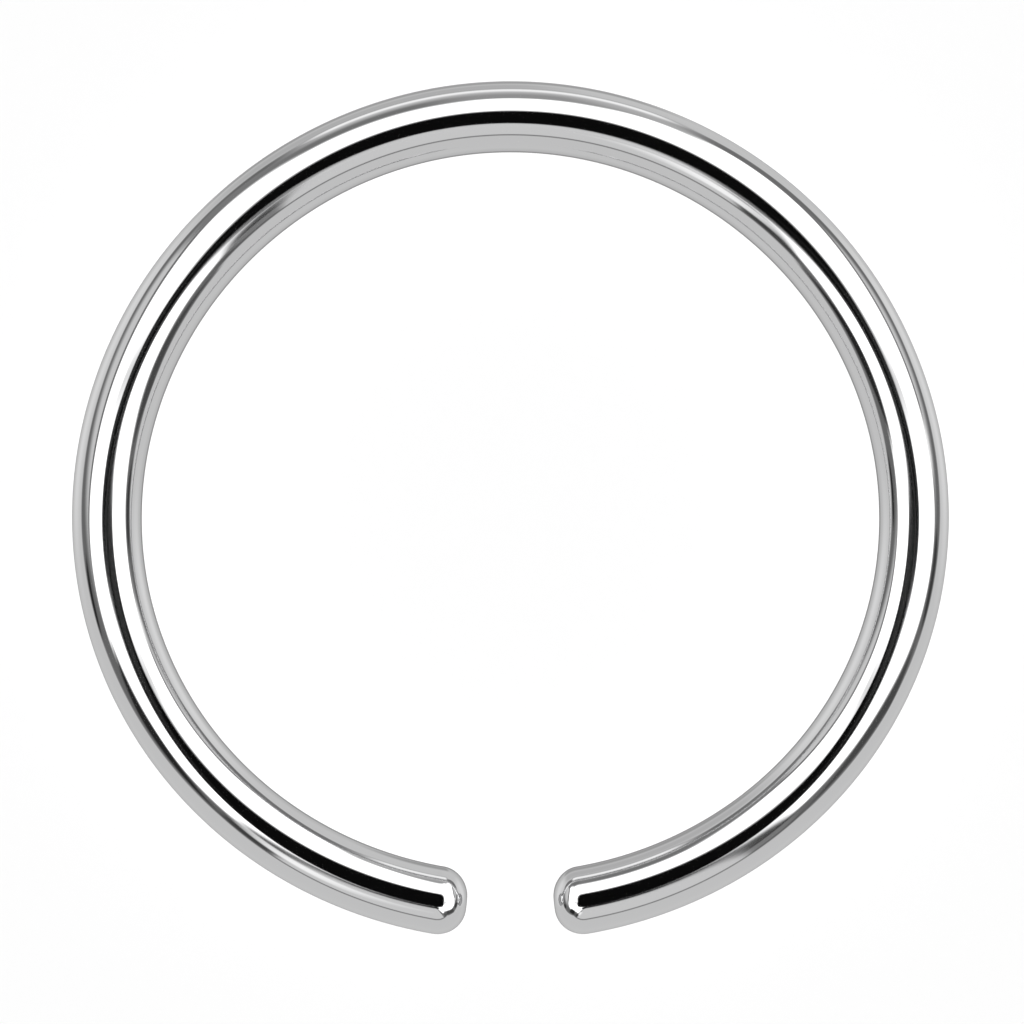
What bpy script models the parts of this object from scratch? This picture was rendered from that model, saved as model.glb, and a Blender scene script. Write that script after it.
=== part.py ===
# A nose ring: one length of round wire bent into an open hoop, with its two cut ends rounded off.
# Metres, +Z up. The hoop lies on its side on Z = 0 with its middle at the origin. Its gap faces -Y.

import math

import bpy

# Driving dimensions
WIRE_DIAMETER = 0.0008
INSIDE_DIAMETER = 0.0085
END_GAP = 0.00103           # straight across, from the middle of one end to the middle of the other
END_FLAT_DIAMETER = 0.00012  # the small flat left at the middle of each end by its rounding
OUT_OF_ROUND = 0.000018     # how far the bend swings out of and into a true circle

# How finely the wire is divided
BEND_SEGMENTS = 96
ROUNDING_SEGMENTS = 5
WIRE_SIDES = 24

WIRE_RADIUS = WIRE_DIAMETER / 2
BEND_RADIUS = INSIDE_DIAMETER / 2 + WIRE_RADIUS
END_ROUNDING = WIRE_RADIUS - END_FLAT_DIAMETER / 2


def clear_scene():
    for thing in list(bpy.data.objects):
        bpy.data.objects.remove(thing, do_unlink=True)


def bend_radius(angle):
    """Distance from the hoop's middle to the wire's centre line, at an angle from the side opposite the gap."""
    return BEND_RADIUS + OUT_OF_ROUND * math.cos(3 * angle)


def tip_angle():
    """Where the wire's right end is, as an angle from the side opposite the gap."""
    return math.pi - math.asin(END_GAP / 2 / bend_radius(math.pi))


def wire_stations():
    """Angle and wire radius at each station, from the left end round to the right end."""
    tip = tip_angle()
    rounding = []
    for step in range(ROUNDING_SEGMENTS):
        turn = math.pi / 2 * step / ROUNDING_SEGMENTS
        inset = END_ROUNDING * (1 - math.cos(turn))
        radius = WIRE_RADIUS - END_ROUNDING * (1 - math.sin(turn))
        rounding.append((tip - inset / BEND_RADIUS, radius))
    full = tip - END_ROUNDING / BEND_RADIUS
    middle = []
    for step in range(BEND_SEGMENTS + 1):
        middle.append((full * (2 * step / BEND_SEGMENTS - 1), WIRE_RADIUS))
    left_end = [(-angle, radius) for angle, radius in rounding]
    return left_end + middle + rounding[::-1]


def polished_steel():
    material = bpy.data.materials.new("polished_steel")
    material.use_nodes = True
    surface = material.node_tree.nodes["Principled BSDF"]
    surface.inputs["Base Color"].default_value = (0.60, 0.60, 0.605, 1)
    surface.inputs["Metallic"].default_value = 1
    surface.inputs["Roughness"].default_value = 0.08
    return material


def make_hoop(collection):
    """The wire, swept round its bend. Each end narrows to its small flat through the rounding."""
    stations = wire_stations()
    curve = bpy.data.curves.new("hoop", "CURVE")
    curve.dimensions = "3D"
    curve.bevel_depth = WIRE_RADIUS
    curve.bevel_resolution = WIRE_SIDES // 2 - 2
    curve.use_fill_caps = True
    spline = curve.splines.new("POLY")
    spline.points.add(len(stations) - 1)
    for point, (angle, radius) in zip(spline.points, stations):
        reach = bend_radius(angle)
        point.co = (reach * math.sin(angle), reach * math.cos(angle), 0, 1)
        point.radius = radius / WIRE_RADIUS
    spline.use_smooth = True
    curve.materials.append(polished_steel())
    hoop = bpy.data.objects.new("hoop", curve)
    hoop.location = (0, 0, WIRE_RADIUS)
    collection.objects.link(hoop)


def main():
    clear_scene()
    nose_ring = bpy.data.collections.new("nose_ring")
    bpy.context.scene.collection.children.link(nose_ring)
    make_hoop(nose_ring)


main()
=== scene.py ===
import math

import bpy
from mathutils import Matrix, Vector


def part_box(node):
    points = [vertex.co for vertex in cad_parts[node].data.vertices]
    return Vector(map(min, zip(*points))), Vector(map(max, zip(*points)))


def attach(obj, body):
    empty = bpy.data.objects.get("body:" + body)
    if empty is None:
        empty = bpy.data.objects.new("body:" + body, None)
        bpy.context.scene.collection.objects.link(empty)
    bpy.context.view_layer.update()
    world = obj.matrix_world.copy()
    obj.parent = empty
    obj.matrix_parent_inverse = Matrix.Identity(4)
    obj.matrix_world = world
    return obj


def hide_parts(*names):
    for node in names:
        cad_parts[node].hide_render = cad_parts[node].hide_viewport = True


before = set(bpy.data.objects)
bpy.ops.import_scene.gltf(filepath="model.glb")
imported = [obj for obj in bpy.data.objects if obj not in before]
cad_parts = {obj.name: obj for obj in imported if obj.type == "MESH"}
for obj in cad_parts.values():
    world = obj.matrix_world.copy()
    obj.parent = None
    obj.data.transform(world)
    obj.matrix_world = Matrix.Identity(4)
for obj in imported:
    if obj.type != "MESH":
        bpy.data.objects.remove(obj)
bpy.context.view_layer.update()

# CAMERA
# It looks down on the lying hoop from the side opposite the gap, 12 degrees off straight above and
# ten bend radii away, because the photograph shows that side a little larger.
hoop_low, hoop_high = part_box("hoop")
wire_radius = (hoop_high.z - hoop_low.z) / 2
inside_diameter = 0.0085
bend_radius = inside_diameter / 2 + wire_radius
hoop_middle = Vector((0, 0, wire_radius))

camera = bpy.data.objects.new("camera", bpy.data.cameras.new("camera"))
bpy.context.scene.collection.objects.link(camera)
camera.data.sensor_width = 36
camera.data.lens = 141.85
camera.data.clip_start = 0.001
camera.data.clip_end = 2
camera.location = hoop_middle + bend_radius * Vector((-0.0296, 2.1068, 9.7755))
camera.rotation_euler = [math.radians(turn) for turn in (-12.031, -0.185, 0.041)]
bpy.context.scene.camera = camera


# HOOP
# One length of round steel wire, 0.8 mm thick, bent into an open ring 8.5 mm across inside.
# The wire is cut, its two ends are rounded over, and the whole is polished to a mirror.
end_gap = 0.00103
end_flat_diameter = 0.00012
out_of_round = 0.000018


class Sheet:
    """A node tree, and the one way that nodes are put in it."""

    def __init__(self, tree):
        self.tree = tree

    def node(self, kind, settings={}, sockets={}):
        node = self.tree.nodes.new(kind)
        for name, value in settings.items():
            setattr(node, name, value)
        for name, value in sockets.items():
            if isinstance(value, Amount):
                self.tree.links.new(value.socket, node.inputs[name])
            elif hasattr(value, "is_linked"):
                self.tree.links.new(value, node.inputs[name])
            else:
                node.inputs[name].default_value = value
        return node

    def amount(self, kind, settings={}, sockets={}):
        return Amount(self, self.node(kind, settings, sockets).outputs[0])


class Amount:
    """A number that a node gives out. Sums written on it add their Math nodes."""

    def __init__(self, sheet, socket):
        self.sheet = sheet
        self.socket = socket

    def math(self, operation, *others):
        sockets = dict(enumerate((self, *others)))
        return self.sheet.amount("ShaderNodeMath", {"operation": operation}, sockets)

    def reversed_math(self, operation, first):
        return self.sheet.amount("ShaderNodeMath", {"operation": operation}, {0: first, 1: self})

    def __add__(self, other):
        return self.math("ADD", other)

    def __sub__(self, other):
        return self.math("SUBTRACT", other)

    def __mul__(self, other):
        return self.math("MULTIPLY", other)

    def __truediv__(self, other):
        return self.math("DIVIDE", other)

    def __radd__(self, other):
        return self.math("ADD", other)

    def __rmul__(self, other):
        return self.math("MULTIPLY", other)

    def __rsub__(self, other):
        return self.reversed_math("SUBTRACT", other)

    def __rtruediv__(self, other):
        return self.reversed_math("DIVIDE", other)

    def step(self, start, end, low=0, high=1):
        """From low to high along a soft S curve, as this goes from start to end."""
        settings = {"interpolation_type": "SMOOTHSTEP"}
        sockets = {"Value": self, "From Min": start, "From Max": end, "To Min": low, "To Max": high}
        return self.sheet.amount("ShaderNodeMapRange", settings, sockets)


def bent_wire_tree():
    """A grid of stations along the wire and sides round it, each moved to its place on the bend."""
    tree = bpy.data.node_groups.new("bent_wire", "GeometryNodeTree")
    sheet = Sheet(tree)
    tree.interface.new_socket("Wire", in_out="OUTPUT", socket_type="NodeSocketGeometry")
    lengths = ("Wire radius", "Bend radius", "End gap", "End flat radius", "Out of round")
    counts = ("Half stations", "Rounding steps", "Sides")
    for name in lengths:
        tree.interface.new_socket(name, in_out="INPUT", socket_type="NodeSocketFloat")
    for name in counts:
        tree.interface.new_socket(name, in_out="INPUT", socket_type="NodeSocketInt")
    tree.interface.new_socket("Finish", in_out="INPUT", socket_type="NodeSocketMaterial")
    given = tree.nodes.new("NodeGroupInput").outputs
    radius, bend, gap, flat, sway, half, steps, sides = (
        Amount(sheet, given[name]) for name in lengths + counts)

    reach_end = half + steps + 1
    grid = sheet.node("GeometryNodeMeshGrid", {}, {
        "Size X": reach_end * 2, "Size Y": sides,
        "Vertices X": reach_end * 2 + 1, "Vertices Y": sides + 1})
    place = sheet.node("ShaderNodeSeparateXYZ", {}, {
        0: sheet.node("GeometryNodeInputPosition").outputs[0]})
    along, across = Amount(sheet, place.outputs[0]).math("ROUND"), Amount(sheet, place.outputs[1])
    around = (across / sides + 0.5) * math.tau
    out = along.math("ABSOLUTE")

    rounding = radius - flat
    tip = math.pi - (gap / 2 / (bend - sway)).math("ARCSINE")
    full = tip - rounding / bend
    turn = (1 - (out - half) / steps) * (math.pi / 2)
    turn = turn.math("MAXIMUM", 0).math("MINIMUM", math.pi / 2)
    on_bend = full * (out / half).math("MINIMUM", 1)
    on_end = tip - rounding * (1 - turn.math("COSINE")) / bend
    past = out.math("GREATER_THAN", half)
    angle = (on_bend + (on_end - on_bend) * past) * along.math("SIGN")
    # The last station at each end has no width, so it closes the flat there.
    has_width = out.math("LESS_THAN", reach_end - 0.5)
    thick = (radius - rounding * (1 - turn.math("SINE"))) * has_width

    reach = bend + sway * (angle * 3).math("COSINE") + thick * around.math("COSINE")
    moved = sheet.node("ShaderNodeCombineXYZ", {}, {
        0: reach * angle.math("SINE"), 1: reach * angle.math("COSINE"),
        2: radius + thick * around.math("SINE")})
    wire = sheet.node("GeometryNodeSetPosition", {}, {
        "Geometry": grid.outputs["Mesh"], "Position": moved.outputs[0]})
    polish = sheet.node("ShaderNodeCombineXYZ", {}, {
        0: around.math("COSINE"), 1: around.math("SINE"), 2: angle * bend / radius})
    wire = sheet.node("GeometryNodeStoreNamedAttribute", {
        "data_type": "FLOAT_VECTOR", "domain": "POINT"}, {
        "Geometry": wire.outputs[0], "Name": "wire_place", "Value": polish.outputs[0]})
    wire = sheet.node("GeometryNodeMergeByDistance", {}, {
        "Geometry": wire.outputs[0], "Distance": 1e-7})
    wire = sheet.node("GeometryNodeSetShadeSmooth", {}, {
        "Geometry": wire.outputs[0], "Shade Smooth": True})
    wire = sheet.node("GeometryNodeRealizeInstances", {}, {"Geometry": wire.outputs[0]})
    wire = sheet.node("GeometryNodeSetMaterial", {}, {
        "Geometry": wire.outputs[0], "Material": given["Finish"]})
    sheet.node("NodeGroupOutput", {}, {"Wire": wire.outputs[0]})
    return tree


def mirror_polished_steel():
    """Neutral grey metal, with the faint waves and hairlines that a buffing wheel leaves."""
    material = bpy.data.materials.new("mirror_polished_steel")
    material.use_nodes = True
    material.node_tree.nodes.clear()
    sheet = Sheet(material.node_tree)
    place = sheet.node("ShaderNodeAttribute", {"attribute_name": "wire_place"}).outputs["Vector"]
    waves = sheet.amount("ShaderNodeTexNoise", {}, {
        "Vector": place, "Scale": 1.4, "Detail": 1.0, "Roughness": 0.4})
    stretched = sheet.node("ShaderNodeVectorMath", {"operation": "MULTIPLY"}, {
        0: place, 1: (1, 1, 3.0)}).outputs[0]
    grain = sheet.amount("ShaderNodeTexNoise", {}, {
        "Vector": stretched, "Scale": 14, "Detail": 2.0, "Roughness": 0.6})
    haze = sheet.amount("ShaderNodeTexNoise", {}, {
        "Vector": place, "Scale": 0.7, "Detail": 3.0, "Roughness": 0.6})
    tone = sheet.node("ShaderNodeMix", {"data_type": "RGBA"}, {
        "Factor": haze, "A": (0.585, 0.585, 0.590, 1), "B": (0.615, 0.615, 0.617, 1)})
    waved = sheet.node("ShaderNodeBump", {}, {
        "Strength": 1.0, "Distance": 1e-6, "Height": waves})
    grained = sheet.node("ShaderNodeBump", {}, {
        "Strength": 1.0, "Distance": 3e-8, "Height": grain, "Normal": waved.outputs[0]})
    surface = sheet.node("ShaderNodeBsdfPrincipled", {}, {
        "Metallic": 1.0, "Base Color": tone.outputs["Result"],
        "Roughness": haze.step(0.2, 0.8, 0.045, 0.075), "Normal": grained.outputs[0]})
    sheet.node("ShaderNodeOutputMaterial", {}, {"Surface": surface.outputs[0]})
    return material


hoop_seed = bpy.data.meshes.new("hoop_wire")
hoop_maker = bpy.data.objects.new("hoop_maker", hoop_seed)
bpy.context.scene.collection.objects.link(hoop_maker)
bend_modifier = hoop_maker.modifiers.new("bent_wire", "NODES")
bend_modifier.node_group = bent_wire_tree()
hoop_sizes = {
    "Wire radius": wire_radius, "Bend radius": bend_radius, "End gap": end_gap,
    "End flat radius": end_flat_diameter / 2, "Out of round": out_of_round,
    "Half stations": 300, "Rounding steps": 16, "Sides": 72,
    "Finish": mirror_polished_steel()}
for item in bend_modifier.node_group.interface.items_tree:
    if item.in_out == "INPUT":
        bend_modifier[item.identifier] = hoop_sizes[item.name]
hoop_maker.data.update()
bpy.context.view_layer.update()
evaluated = hoop_maker.evaluated_get(bpy.context.evaluated_depsgraph_get())
hoop_mesh = bpy.data.meshes.new_from_object(evaluated)
hoop_mesh.name = "hoop_wire"
bpy.data.objects.remove(hoop_maker)
hoop_wire = bpy.data.objects.new("hoop_wire", hoop_mesh)
bpy.context.scene.collection.objects.link(hoop_wire)
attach(hoop_wire, "root")
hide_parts("hoop")


# FLOOR
# A plain matt white sheet, lit from above by one broad soft light and by a pale room all round.
# It is hidden from the hoop's mirror surface, which sees the tent below it instead.
floor_side = 3.0
floor_white = 0.93
floor_mesh = bpy.data.meshes.new("floor")
floor_mesh.from_pydata(
    [(x * floor_side / 2, y * floor_side / 2, 0) for x, y in ((-1, -1), (1, -1), (1, 1), (-1, 1))],
    [], [(0, 1, 2, 3)])
floor = bpy.data.objects.new("floor", floor_mesh)
bpy.context.scene.collection.objects.link(floor)
floor_paint = bpy.data.materials.new("matt_white")
floor_paint.use_nodes = True
floor_surface = floor_paint.node_tree.nodes["Principled BSDF"]
floor_surface.inputs["Base Color"].default_value = (floor_white, floor_white, floor_white, 1)
floor_surface.inputs["Roughness"].default_value = 1
floor_surface.inputs["Specular IOR Level"].default_value = 0
floor_mesh.materials.append(floor_paint)
floor.visible_glossy = False

room_light = 0.12
overhead_share = 0.895
backdrop_white = 0.99
overhead = bpy.data.objects.new("overhead", bpy.data.lights.new("overhead", "SUN"))
overhead.data.energy = overhead_share * math.pi / floor_white
overhead.data.angle = math.radians(15)
overhead.data.use_shadow = False
overhead.rotation_euler = (math.radians(-12), 0, 0)
overhead.visible_glossy = False
bpy.context.scene.collection.objects.link(overhead)

room = bpy.data.worlds.new("pale_room")
room.use_nodes = True
room.node_tree.nodes.clear()
room_sheet = Sheet(room.node_tree)
seen = room_sheet.node("ShaderNodeLightPath").outputs["Is Camera Ray"]
room_tone = room_sheet.node("ShaderNodeMix", {"data_type": "RGBA"}, {
    "Factor": seen, "A": (room_light, room_light, room_light, 1),
    "B": (backdrop_white, backdrop_white, backdrop_white, 1)})
room_back = room_sheet.node("ShaderNodeBackground", {}, {"Color": room_tone.outputs["Result"]})
room_sheet.node("ShaderNodeOutputWorld", {}, {"Surface": room_back.outputs[0]})
bpy.context.scene.world = room
bpy.context.scene.view_settings.view_transform = "Standard"
bpy.context.scene.view_settings.look = "None"


# LIGHT TENT
# What the polished wire mirrors, as a painted reflection on glowing shells that only its mirror
# sees.
# A white tent with a big softbox stands close round it, and has a round hole for the lens that runs
# down to the table. The pale room and table lie far beyond. Their light and shade are painted on.
# Each card is placed in degrees from straight overhead, and a later one covers an earlier one.
tent_radius = 8 * bend_radius
room_radius = 60 * bend_radius
kite_width = 0.69
tent_glow = 0.24
table_glow = 0.86
looking = (0, -0.208, -0.978)  # the way the camera looks
# kind, right, up, half width, half height, corner, soft edge, turn, glow
# A "kite" is squeezed to 0.69 of its width. A "ring" card is bent round the overhead point: right
# is its bearing, up its angle from overhead. A glow of None cuts a hole.
tent_cards = [
    ("flat", 1, 21.5, 94, 68.5, 60, 6, 0, 0.21),     # tent's dark rim, and the table edge in shade
    ("flat", 0.5, 24, 83.5, 46, 45, 15, 0, 0.90),    # tent wall
    ("flat", 4.5, 22.8, 69, 51.3, 30, 4, 2, 0.10),   # softbox's dark edge
    ("flat", 5, 20.6, 64, 51.1, 28, 6, 2, 2.8),      # softbox
    ("flat", -38, -34, 9.5, 8, 4, 6, -18, 0.03),     # darkest of the shade, left
    ("flat", 46, -37, 15, 6.5, 4, 6, 0, 0.10),       # darkest of the shade, right
    ("flat", -45, 68, 34, 10, 6, 12, 29, 0.30),      # dark corner, top left
    ("flat", -71, -26, 4, 7, 4, 5, 33, 0.03),        # darkest of the rim, left
    ("flat", 73, -23, 5, 9, 5, 5, -33, 0.07),        # darkest of the rim, right
    ("ring", 40, 95, 14, 6, 5, 10, 0, 0.25),         # dark corner, top right
    ("ring", -22, 78.5, 16, 10.5, 6, 12, 0, 0.27),   # wall over the softbox, left
    ("ring", 3, 80, 14, 9, 5, 12, 0, 0.46),          # wall over the softbox, middle
    ("ring", 22, 84, 10, 6, 5, 10, 0, 0.62),         # wall over the softbox, right
    ("ring", -3, 97, 31, 9, 6, 14, 0, 0.80),         # strip light behind
    ("ring", -3, 101, 29, 4.5, 4, 7, 0, 1.45),       # its brighter edge
    ("flat", 71, 1, 4, 5, 4, 7, 0, 1.4),             # bright spot, right
    ("flat", -26, -1, 9, 3.5, 3.5, 9, -17, 1.1),     # painted shade of a fold in the softbox, left
    ("flat", 26, -2, 9, 3.5, 3.5, 9, 17, 1.1),       # painted shade of a fold in the softbox, right
    ("flat", 0.5, -80.7, 48, 48, 0, 2, 45, None),    # slit down to the table
    ("flat", 0, -4.5, 21, 9.8, 9, 1.6, 0, None),     # lens hole, its lower lip
    ("flat", 2, 10.5, 23.3, 23.3, 22, 8, 0, None),   # lens hole
]
# Painted reflection of the pale room and the table far beyond, with their light and shade painted
# on.
room_cards = [
    ("ring", 82, 118, 22, 14, 10, 28, 0, 1.08),      # brighter side, right
    ("ring", -82, 118, 22, 14, 10, 28, 0, 1.08),     # brighter side, left
    ("ring", -22, 122, 30, 14, 10, 18, 0, 0.68),     # shade behind
    ("ring", -15, 152, 45, 10, 8, 14, 0, 0.55),      # shade behind, under the hoop
    ("flat", 0, -5, 45, 41, 4, 2, 0, 0.005),         # dark behind the lens hole
    ("flat", 14, -9, 7, 4, 3, 6, 0, 0.045),          # a little light in it, right
    ("flat", -14, -9, 7, 4, 3, 6, 0, 0.045),         # a little light in it, left
    ("flat", 0, -30, 32, 15, 2, 4, 0, 0.15),         # table's far edge
    ("flat", 0, -22.4, 30, 7.4, 0, 1.5, 0, 2.8),     # softbox, seen past the lens hole
    ("flat", 0.3, -79.6, 48, 48, 0, 2.5, 45, 0.08),  # dark rim of the table's near corner
    ("flat", 20, -38, 4, 7, 3, 5, 36, 0.30),         # its paler end, right
    ("kite", 0.3, -81.0, 48, 48, 0, 2, 45, 0.92),    # table's near corner
    ("flat", -11, -31, 3.5, 7, 3, 7, -36, 1.5),      # its brighter side
    ("ring", 180, 104, 52, 51, 0, 2, 0, table_glow),  # table, past its crease
    ("ring", 180, 53.2, 42, 2.0, 1, 4, 0, 0.24),     # painted shade in the table's crease
]


def ball(name, radius):
    """A closed round shell about the hoop's middle, of rings and spokes."""
    rings, spokes = 48, 96
    points = [(0, 0, radius), (0, 0, -radius)]
    for ring in range(1, rings):
        down = math.pi * ring / rings
        for spoke in range(spokes):
            round_it = math.tau * spoke / spokes
            points.append((radius * math.sin(down) * math.cos(round_it),
                           radius * math.sin(down) * math.sin(round_it),
                           radius * math.cos(down)))
    faces = []
    foot = 2 + (rings - 2) * spokes  # first point of the lowest ring
    for spoke in range(spokes):
        after = (spoke + 1) % spokes
        faces.append((0, 2 + spoke, 2 + after))
        faces.append((1, foot + after, foot + spoke))
        for row in range(2, foot, spokes):
            faces.append((row + spoke, row + spokes + spoke, row + spokes + after, row + after))
    mesh = bpy.data.meshes.new(name)
    mesh.from_pydata(points, [], faces)
    shell = bpy.data.objects.new(name, mesh)
    shell.location = hoop_middle
    bpy.context.scene.collection.objects.link(shell)
    for rays in ("camera", "diffuse", "transmission", "volume_scatter", "shadow"):
        setattr(shell, "visible_" + rays, False)
    return shell


def painted_light_cards(name, cards, bare_glow, bare_cover):
    """A glowing cloth with painted light and shade on it, card by card, and clear where the cards
    leave it uncovered.
    """
    cloth = bpy.data.materials.new(name)
    cloth.use_nodes = True
    cloth.node_tree.nodes.clear()
    sheet = Sheet(cloth.node_tree)
    toward = sheet.node("ShaderNodeVectorMath", {"operation": "NORMALIZE"}, {
        0: sheet.node("ShaderNodeTexCoord").outputs["Object"]})
    split = sheet.node("ShaderNodeSeparateXYZ", {}, {0: toward.outputs[0]})
    right, up, height = (Amount(sheet, socket) for socket in split.outputs)
    from_top = height.math("ARCCOSINE") * math.degrees(1)
    spread = (right * right + up * up).math("SQRT").math("MAXIMUM", 1e-6)
    card_x, card_y = from_top * right / spread, from_top * up / spread
    bearing = right.math("ARCTAN2", up) * math.degrees(1)
    glow, cover = from_top * 0 + bare_glow, from_top * 0 + bare_cover
    for kind, at_x, at_y, half_x, half_y, corner, soft, turn, value in cards:
        if kind == "ring":
            x, y = (bearing - at_x).math("WRAP", 180, -180), from_top - at_y
        else:
            cosine, sine = math.cos(math.radians(turn)), math.sin(math.radians(turn))
            off_x, off_y = card_x - at_x, card_y - at_y
            if kind == "kite":
                off_x = off_x / kite_width
            x, y = off_x * cosine + off_y * sine, off_y * cosine - off_x * sine
        # How far the point lies outside the card's rounded outline, less than nothing inside it.
        past_x = x.math("ABSOLUTE") - (half_x - corner)
        past_y = y.math("ABSOLUTE") - (half_y - corner)
        beyond_x, beyond_y = past_x.math("MAXIMUM", 0), past_y.math("MAXIMUM", 0)
        outside = (beyond_x * beyond_x + beyond_y * beyond_y).math("SQRT")
        outside = outside + past_x.math("MAXIMUM", past_y).math("MINIMUM", 0) - corner
        card = outside.step(-soft / 2, soft / 2, 1, 0)
        if value is None:
            cover = cover * (1 - card)
        else:
            glow = glow + (value - glow) * card
            cover = cover + (1 - cover) * card
    ahead = sheet.node("ShaderNodeVectorMath", {"operation": "DOT_PRODUCT"}, {
        0: toward.outputs[0], 1: looking})
    from_ahead = Amount(sheet, ahead.outputs["Value"]).math("ARCCOSINE") * math.degrees(1)
    # Painted shade: the glow dims towards the way the camera looks, so the wire's thin edges mirror
    # a darker table behind the hoop, as if in the hoop's own shade.
    glow = glow * from_ahead.step(12, 34, 0.45, 1) * from_ahead.step(25, 60, 0.80, 1)
    light = sheet.node("ShaderNodeEmission", {}, {"Color": glow, "Strength": 1.0})
    clear = sheet.node("ShaderNodeBsdfTransparent")
    mixed = sheet.node("ShaderNodeMixShader", {}, {
        0: cover, 1: clear.outputs[0], 2: light.outputs[0]})
    sheet.node("ShaderNodeOutputMaterial", {}, {"Surface": mixed.outputs[0]})
    cloth.cycles.emission_sampling = "NONE"
    return cloth


tent = ball("light_tent", tent_radius)
tent.data.materials.append(painted_light_cards("tent_painted_reflection", tent_cards, tent_glow, bare_cover=0))
far_room = ball("far_room", room_radius)
far_room.data.materials.append(painted_light_cards("far_room_painted_reflection", room_cards, table_glow, bare_cover=1))
